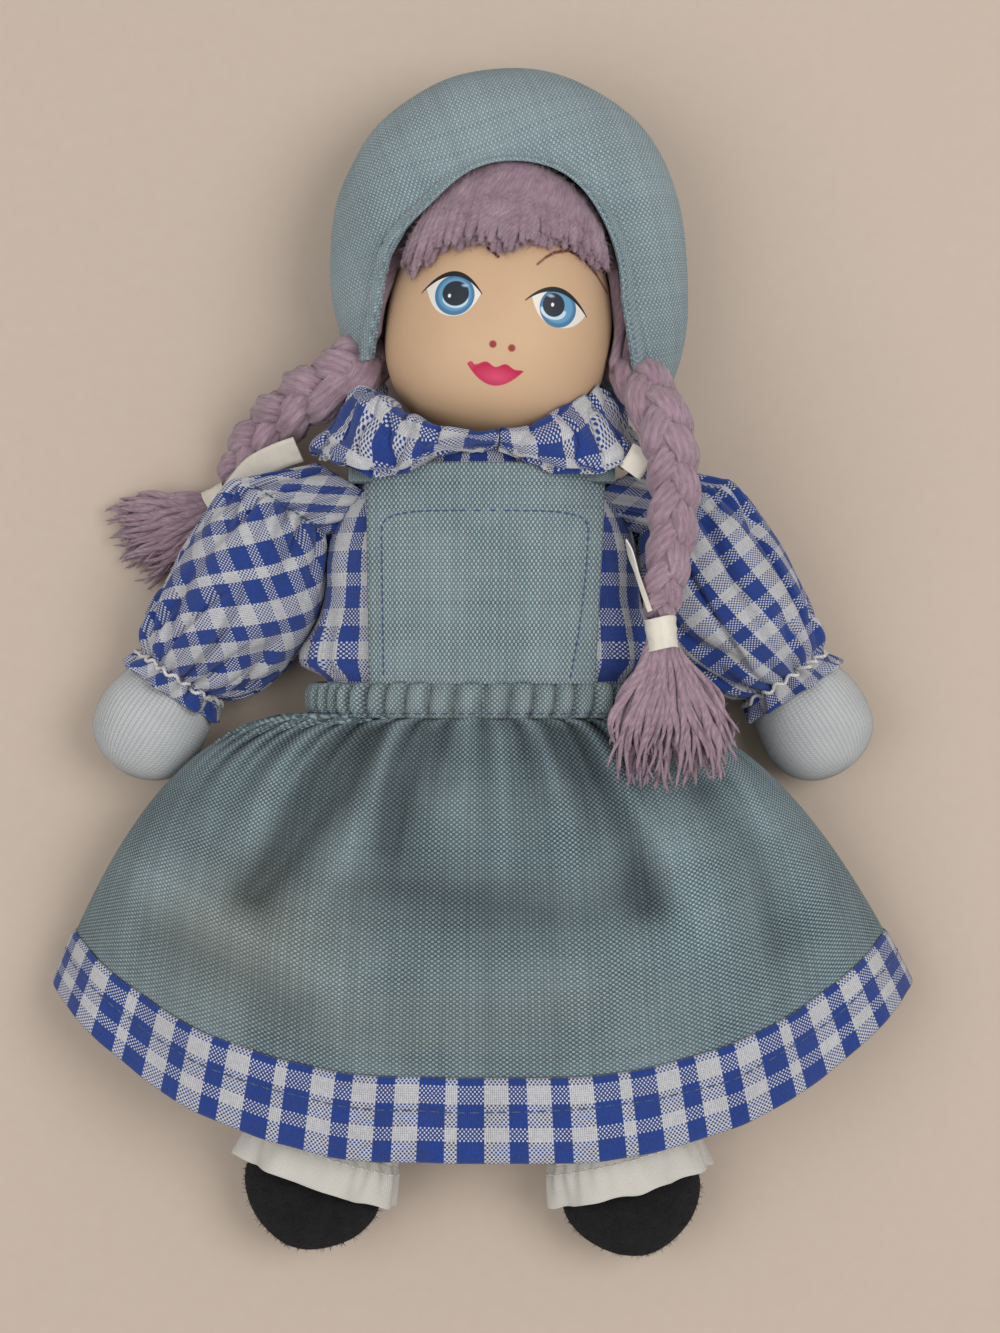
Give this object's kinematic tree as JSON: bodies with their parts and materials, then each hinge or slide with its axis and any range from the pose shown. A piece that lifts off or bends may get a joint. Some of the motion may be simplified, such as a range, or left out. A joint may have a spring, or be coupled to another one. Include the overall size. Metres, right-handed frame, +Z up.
{
  "type": "ceramic head doll",
  "caption": "Rag doll with a painted ceramic head, yarn braids, linen bonnet and pinafore and gingham blouse, lying on its back; head, arms, waist and legs move.",
  "frame": {"origin": "middle of the doll's outline on the table that it lies on", "axes": "+Y from the shoes to the bonnet's crown, +X to the right of the picture, +Z up out of the face"},
  "size_m": [0.1244, 0.1699, 0.0371],
  "materials": {
    "painted_ceramic": "matt hand-painted bisque",
    "mauve_yarn": "soft spun yarn",
    "ivory_satin": "woven satin",
    "grey_blue_linen": "washed plain weave",
    "blue_gingham": "yarn-dyed check",
    "black_felt": "brushed fuzzy cloth",
    "navy_thread": "sewing thread",
    "white_thread": "sewing thread and elastic",
    "stuffing": "fibre fill",
    "white_knit": "ribbed knit",
    "white_cotton": "plain cotton"
  },
  "bodies": {
    "torso": {"chest_bag": "white_cotton", "chest_stuffing": "stuffing", "neck_cloth": "white_cotton", "neck_thread": "white_thread", "bodice": "blue_gingham", "left_collar": "blue_gingham", "right_collar": "blue_gingham", "bib": "grey_blue_linen", "left_strap": "grey_blue_linen", "right_strap": "grey_blue_linen", "waistband": "grey_blue_linen", "waist_elastic": "white_thread", "waist_thread": "navy_thread", "left_shoulder_thread": "navy_thread", "right_shoulder_thread": "navy_thread"},
    "head": {"head": "painted_ceramic", "wig": "mauve_yarn", "fringe": "mauve_yarn", "bonnet": "grey_blue_linen", "left_braid": "mauve_yarn", "right_braid": "mauve_yarn", "left_ribbon": "ivory_satin", "right_ribbon": "ivory_satin", "left_tassel": "mauve_yarn", "right_tassel": "mauve_yarn"},
    "left_arm": {"left_arm": "white_knit", "left_sleeve": "blue_gingham", "left_cuff_elastic": "white_thread"},
    "right_arm": {"right_arm": "white_knit", "right_sleeve": "blue_gingham", "right_cuff_elastic": "white_thread"},
    "lap": {"seat_bag": "white_cotton", "seat_stuffing": "stuffing", "pantaloon_seat": "white_cotton", "skirt": "grey_blue_linen", "hem_band": "blue_gingham", "left_hip_stitch": "white_thread", "right_hip_stitch": "white_thread"},
    "left_leg": {"left_leg": "white_cotton", "left_pantaloon": "white_cotton", "left_frill": "white_cotton", "left_shoe": "black_felt"},
    "right_leg": {"right_leg": "white_cotton", "right_pantaloon": "white_cotton", "right_frill": "white_cotton", "right_shoe": "black_felt"}
  },
  "joints": [
    {"name": "head_turn", "type": "hinge", "parent": "torso", "child": "head", "pos_m": [0, 0.0307, 0.0197], "axis": [0.1392, 0.9903, 0], "range_deg": [-40, 40], "deforming": ["left_braid", "right_braid", "left_ribbon", "right_ribbon", "left_tassel", "right_tassel"]},
    {"name": "left_arm_lift", "type": "hinge", "parent": "torso", "child": "left_arm", "pos_m": [-0.028, 0.0222, 0.0221], "axis": [-0.8387, 0.5446, 0], "range_deg": [0, 70]},
    {"name": "right_arm_lift", "type": "hinge", "parent": "torso", "child": "right_arm", "pos_m": [0.028, 0.0222, 0.0221], "axis": [-0.8387, -0.5446, 0], "range_deg": [0, 70]},
    {"name": "waist_bend", "type": "hinge", "parent": "torso", "child": "lap", "pos_m": [0, -0.0075, 0.0292], "axis": [-1, 0, 0], "range_deg": [0, 75]},
    {"name": "left_leg_splay", "type": "hinge", "parent": "lap", "child": "left_leg", "pos_m": [-0.0115, -0.0373, 0.009], "axis": [0, 0, -1], "range_deg": [-8, 10]},
    {"name": "right_leg_splay", "type": "hinge", "parent": "lap", "child": "right_leg", "pos_m": [0.0115, -0.0373, 0.009], "axis": [0, 0, 1], "range_deg": [-8, 10]}
  ]
}
